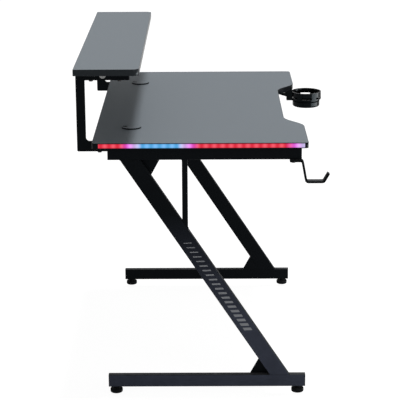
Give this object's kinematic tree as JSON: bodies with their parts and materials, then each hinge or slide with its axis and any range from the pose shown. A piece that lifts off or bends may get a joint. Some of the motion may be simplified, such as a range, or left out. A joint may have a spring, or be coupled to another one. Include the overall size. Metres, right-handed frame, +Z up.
{
  "type": "gaming desk",
  "caption": "Desk on slanted Z-shaped steel legs with lit side edges, a raised monitor shelf, cable grommets, a headphone hook and a cup holder.",
  "frame": {"origin": "on the floor, under the middle of the part's box", "axes": "+X to the user's right, +Y from the user to the back, +Z up"},
  "size_m": [1, 0.7384, 0.956],
  "materials": {
    "laminate": "satin dark grey laminate with a fine grain",
    "edge_band": "matte black band",
    "frame_paint": "fine-textured black powder coat",
    "black_plastic": "matte moulded",
    "pad_rubber": "hard black rubber",
    "black_bolt": "blackened steel",
    "zinc_steel": "zinc plated",
    "grommet_plastic": "satin dark grey moulding",
    "channel_aluminium": "extruded",
    "strip_board": "white flexible circuit",
    "light_chip": "clear lens over the chip",
    "light_diffuser": "milky diffuser lit from behind",
    "lead_rubber": "black sheath",
    "controller_plastic": "matte moulded",
    "circuit_board": "green solder mask",
    "button_plastic": "glossy grey cap",
    "cup_plastic": "satin black moulding"
  },
  "bodies": {
    "desk": {"desktop_board": "laminate", "shelf_board": "laminate", "desktop_edge_band": "edge_band", "shelf_edge_band": "edge_band", "leg_gussets": "frame_paint", "leg_end_caps": "black_plastic", "leveller_nuts": "zinc_steel", "crossbeam_front": "frame_paint", "crossbeam_back": "frame_paint", "crossbeam_plates": "frame_paint", "crossbeam_bolts": "black_bolt", "rivet_nuts": "zinc_steel", "desktop_bolts": "black_bolt", "bracket_bolts": "black_bolt", "shelf_bolts": "black_bolt", "insert_nuts": "zinc_steel", "bracket_end_caps": "black_plastic", "bracket_side_bolts": "zinc_steel", "light_feed_lead": "lead_rubber", "light_link_lead": "lead_rubber", "controller_lid": "controller_plastic", "controller_case": "controller_plastic", "controller_circuit": "circuit_board", "controller_screws": "zinc_steel", "power_socket": "zinc_steel", "headphone_hook": "frame_paint", "hook_bolt": "black_bolt", "cup_holder": "cup_plastic", "cup_holder_screws": "zinc_steel", "leg_beam_left": "frame_paint", "leg_diagonal_left": "frame_paint", "leg_foot_bar_left": "frame_paint", "leg_strut_left": "frame_paint", "shelf_bracket_left": "frame_paint", "grommet_ring_left": "grommet_plastic", "light_channel_left": "channel_aluminium", "light_strip_left": "strip_board", "light_chips_left": "light_chip", "light_diffuser_left": "light_diffuser", "leg_beam_right": "frame_paint", "leg_diagonal_right": "frame_paint", "leg_foot_bar_right": "frame_paint", "leg_strut_right": "frame_paint", "shelf_bracket_right": "frame_paint", "grommet_ring_right": "grommet_plastic", "light_channel_right": "channel_aluminium", "light_strip_right": "strip_board", "light_chips_right": "light_chip", "light_diffuser_right": "light_diffuser"},
    "leveller_front_left": {"leveller_pad_front_left": "pad_rubber", "leveller_stud_front_left": "zinc_steel"},
    "leveller_back_left": {"leveller_pad_back_left": "pad_rubber", "leveller_stud_back_left": "zinc_steel"},
    "leveller_front_right": {"leveller_pad_front_right": "pad_rubber", "leveller_stud_front_right": "zinc_steel"},
    "leveller_back_right": {"leveller_pad_back_right": "pad_rubber", "leveller_stud_back_right": "zinc_steel"},
    "grommet_cap_left": {"grommet_cap_left": "grommet_plastic"},
    "grommet_cap_right": {"grommet_cap_right": "grommet_plastic"},
    "controller_button": {"controller_button": "button_plastic"}
  },
  "joints": [
    {"name": "leveller_front_left_screw", "type": "slide", "parent": "desk", "child": "leveller_front_left", "axis": [0, 0, -1], "range_m": [0, 0.01]},
    {"name": "leveller_back_left_screw", "type": "slide", "parent": "desk", "child": "leveller_back_left", "axis": [0, 0, -1], "range_m": [0, 0.01]},
    {"name": "leveller_front_right_screw", "type": "slide", "parent": "desk", "child": "leveller_front_right", "axis": [0, 0, -1], "range_m": [0, 0.01]},
    {"name": "leveller_back_right_screw", "type": "slide", "parent": "desk", "child": "leveller_back_right", "axis": [0, 0, -1], "range_m": [0, 0.01]},
    {"name": "grommet_cap_left_turn", "type": "hinge", "parent": "desk", "child": "grommet_cap_left", "pos_m": [-0.313, 0.22025, 0.754], "axis": [0, 0, 1], "continuous": true},
    {"name": "grommet_cap_right_turn", "type": "hinge", "parent": "desk", "child": "grommet_cap_right", "pos_m": [0.313, 0.22025, 0.754], "axis": [0, 0, 1], "continuous": true},
    {"name": "controller_button_press", "type": "slide", "parent": "desk", "child": "controller_button", "axis": [0, 1, 0], "range_m": [0, 0.0015], "stiffness_N_per_m": 500, "springref_m": -0.001}
  ]
}
